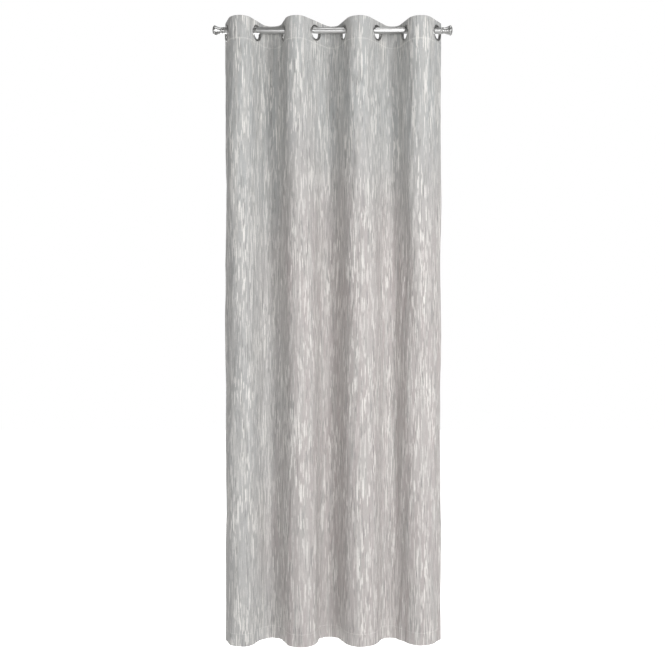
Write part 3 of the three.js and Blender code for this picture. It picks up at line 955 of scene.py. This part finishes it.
# ---------------------------------------------------------------- heading strip
STRIP_FOOT = 0.0085          # heading's end to the stiffener
STRIP_TOP = 0.0040           # and top edge to it
STRIP_CLEAR = 0.0010         # its round cuts are this much wider than the cloth's


def make_strip(piece, name):
    """The stiffener between the heading's two layers, with its round cuts."""
    heights = np.linspace(top_z - HEADING + STRIP_FOOT, top_z - STRIP_TOP, ROWS["back"])
    share, z = sheet_grid(piece, heights, 10)
    keep = np.ones((share.shape[0] - 1, share.shape[1] - 1), bool)
    for at, ring in hole_centres(piece):
        keep &= from_ring(piece, share, z, at, ring)[2] > HOLE + STRIP_CLEAR
    outer, inner = (
        place(piece, share, z, np.full_like(z, w))[0] for w in (-BUCKRAM / 2, BUCKRAM / 2)
    )
    maker = MeshMaker()
    add_sheet(maker, keep, outer, inner)
    return maker.build(name, [buckram])


def join_to_bodies(obj, piece):
    """Rides the margins on the end flanks; each fold only gets its transform baked into its mesh.
    """
    if piece == 0:
        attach(obj, "flank_1")
        return
    if piece == COUNT:
        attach(obj, f"flank_{COUNT}")
        return
    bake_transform(obj)


def make_curtain():
    """The nine pieces of the one cloth, each with its stretch of stiffener."""
    for piece in range(COUNT + 1):
        label = {0: "left_edge", COUNT: "right_edge"}.get(piece, f"fold_{piece}")
        cloth = make_cloth(piece, f"cloth_{label}", [fabric, thread])
        strip = make_strip(piece, f"buckram_{label}")
        flank = max(piece, 1)
        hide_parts(f"cloth_flank_{flank}", f"cloth_heading_{flank}")
        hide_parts(f"heading_stiffener_{flank}")
        join_to_bodies(cloth, piece)
        join_to_bodies(strip, piece)


make_rod()
for k in range(COUNT):
    make_eyelet(k)
make_curtain()


# ---------------------------------------------------------------- stage
FLOOR_DROP = 0.16            # hem to the floor
FLOOR_HALF = 9.0
GLOW = 0.30                  # of the floor, on the object
GLOW_SEEN = 0.62             # and this much more as the camera sees it


def make_floor():
    """A plain pale floor, lit up so that it meets the white background."""
    z = low_z - FLOOR_DROP
    corners = [(x * FLOOR_HALF, y * FLOOR_HALF, z) for x, y in ((-1, -1), (1, -1), (1, 1), (-1, 1))]
    material, tree, shader = new_material("floor_white")
    grain = noise(tree, object_place(tree), (3.0, 3.0, 3.0))
    colour = mix_colour(tree, grain, (0.90, 0.90, 0.90), (0.93, 0.93, 0.93))
    tree.links.new(colour, shader.inputs["Base Color"])
    shader.inputs["Roughness"].default_value = 0.95
    shader.inputs["Emission Color"].default_value = (1, 1, 1, 1)
    path = tree.nodes.new("ShaderNodeLightPath")
    seen = scale_add(tree, path.outputs["Is Camera Ray"], GLOW_SEEN, GLOW)
    tree.links.new(seen, shader.inputs["Emission Strength"])
    new_object("floor", corners, [(0, 1, 2, 3)], [material], 60)


def area_light(name, place_at, aim, size_x, size_y, power):
    """A white panel light of the given size and watts, which the camera doesn't see."""
    data = bpy.data.lights.new(name, "AREA")
    data.shape = "RECTANGLE"
    data.size, data.size_y = size_x, size_y
    data.energy = power
    light = bpy.data.objects.new(name, data)
    light.visible_camera = False
    light.location = place_at
    light.rotation_mode = "QUATERNION"
    light.rotation_quaternion = (Vector(aim) - Vector(place_at)).to_track_quat("-Z", "Y")
    bpy.context.scene.collection.objects.link(light)


def make_world():
    """White behind the object, and a dim even light on it."""
    world = bpy.data.worlds.new("studio")
    world.use_nodes = True
    tree = world.node_tree
    tree.nodes.clear()
    out = tree.nodes.new("ShaderNodeOutputWorld")
    seen = node(tree, "ShaderNodeBackground", Strength=1.0, Color=(1, 1, 1, 1))
    lit = node(tree, "ShaderNodeBackground", Strength=0.245, Color=(1.0, 0.995, 0.985, 1))
    path = tree.nodes.new("ShaderNodeLightPath")
    choose = tree.nodes.new("ShaderNodeMixShader")
    # the first output of the path node is Is Camera Ray
    for socket, made in zip(choose.inputs, (path, lit, seen)):
        tree.links.new(made.outputs[0], socket)
    tree.links.new(choose.outputs[0], out.inputs["Surface"])
    bpy.context.scene.world = world


CAMERA_AT = (0.0, -3.5, -1.216)      # straight in front, at about half height
CAMERA_LENS = 47.05                  # millimetres, on a sensor 36 mm wide


def make_camera():
    data = bpy.data.cameras.new("camera")
    data.sensor_width = 36.0
    data.lens = CAMERA_LENS
    camera = bpy.data.objects.new("camera", data)
    camera.location = CAMERA_AT
    camera.rotation_euler = (math.pi / 2, 0, 0)
    bpy.context.scene.collection.objects.link(camera)
    bpy.context.scene.camera = camera


mid_z = (top_z + low_z) / 2
LIGHTS = (                   # name, place, what it points at, width, height and watts
    ("key", (2.35, -3.15, mid_z + 0.6), (0, 0, mid_z + 0.15), 0.9, 2.4, 94.5),
    ("fill", (-2.8, -3.2, mid_z), (0, 0, mid_z), 1.6, 2.6, 5),
    ("strip", (-0.5, -3.4, -0.85), (0, 0, -0.1), 3.2, 0.26, 30),
    ("behind", (-1.4, 3.1, mid_z + 0.3), (0, 0, mid_z), 1.8, 2.4, 85),
    ("top", (0.3, -0.6, 1.6), (0, 0, 0), 1.6, 0.8, 11),
)

make_floor()
make_world()
make_camera()
for light in LIGHTS:
    area_light(*light)
scene = bpy.context.scene
scene.view_settings.view_transform = "Standard"
scene.view_settings.look = "None"
